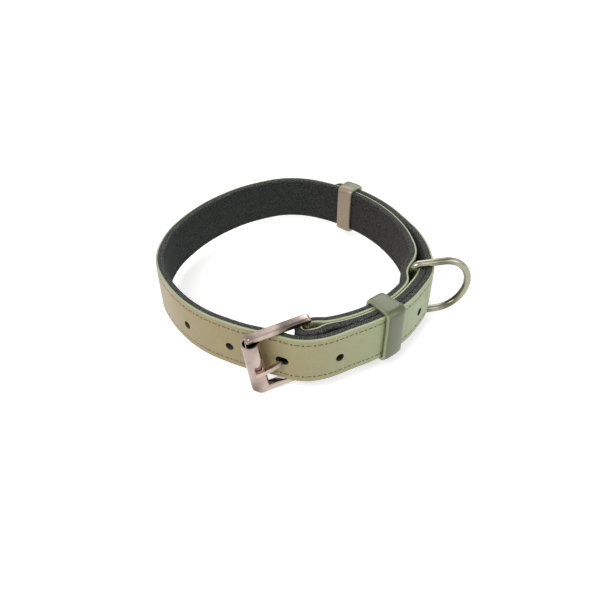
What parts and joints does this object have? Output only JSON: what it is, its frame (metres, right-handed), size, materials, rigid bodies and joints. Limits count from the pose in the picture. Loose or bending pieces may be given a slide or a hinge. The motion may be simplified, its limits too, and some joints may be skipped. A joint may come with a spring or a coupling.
{
  "type": "buckle dog collar",
  "caption": "Flat buckle dog collar: felt-lined leather strap closed through a roller buckle, with a leash D-ring and sliding keeper loops.",
  "frame": {"origin": "centre of the closed ring, level with the lowest point of the collar (a corner of the buckle frame)", "axes": "+Z along the neck opening, from the strap's lower edge to its upper edge; the buckle is at the front (-Y) and the D-ring at the right (+X)"},
  "size_m": [0.1638, 0.1571, 0.0384],
  "materials": {
    "sage_leather": "satin, slightly pearly",
    "felt": "matt melange",
    "thread": "matt",
    "nickel": "polished nickel plate",
    "keeper_leather": "semi-gloss",
    "staple_steel": "bright"
  },
  "bodies": {
    "strap": {"strap_leather": "sage_leather", "strap_lining": "felt", "upper_needle_thread": "thread", "lower_needle_thread": "thread", "upper_bobbin_thread": "thread", "lower_bobbin_thread": "thread", "buckle_end_stitches": "thread", "dee_end_stitches": "thread"},
    "buckle_frame": {"buckle_frame": "nickel"},
    "buckle_roller": {"buckle_roller": "nickel"},
    "buckle_prong": {"buckle_prong": "nickel"},
    "dee_ring": {"dee_ring": "nickel"},
    "front_keeper": {"front_keeper": "keeper_leather", "front_keeper_staple": "staple_steel"},
    "rear_keeper": {"rear_keeper": "keeper_leather", "rear_keeper_staple": "staple_steel"}
  },
  "joints": [
    {"name": "buckle_hinge", "type": "hinge", "parent": "strap", "child": "buckle_frame", "pos_m": [0.00714, -0.06552, 0.02092], "axis": [0.1248, 0.0382, -0.9914], "range_deg": [-3, 1]},
    {"name": "prong_hinge", "type": "hinge", "parent": "buckle_frame", "child": "buckle_prong", "pos_m": [0.00714, -0.06552, 0.02092], "axis": [0.1248, 0.0382, -0.9914], "range_deg": [-3, 0]},
    {"name": "roller_spin", "type": "hinge", "parent": "buckle_frame", "child": "buckle_roller", "pos_m": [-0.01738, -0.07495, 0.01747], "axis": [0.1248, 0.0382, -0.9914], "continuous": true},
    {"name": "dee_swing", "type": "hinge", "parent": "strap", "child": "dee_ring", "pos_m": [0.05928, -0.02276, 0.01982], "axis": [0, 0, 1], "range_deg": [-98, 40]},
    {"name": "front_keeper_slide", "type": "hinge", "parent": "strap", "child": "front_keeper", "pos_m": [0, 0, 0.01982], "axis": [0, 0, 1], "range_deg": [-7, 8]},
    {"name": "rear_keeper_slide", "type": "hinge", "parent": "strap", "child": "rear_keeper", "pos_m": [-0.01844, -0.00318, 0.01982], "axis": [0, 0, 1], "range_deg": [-8, 8]}
  ]
}
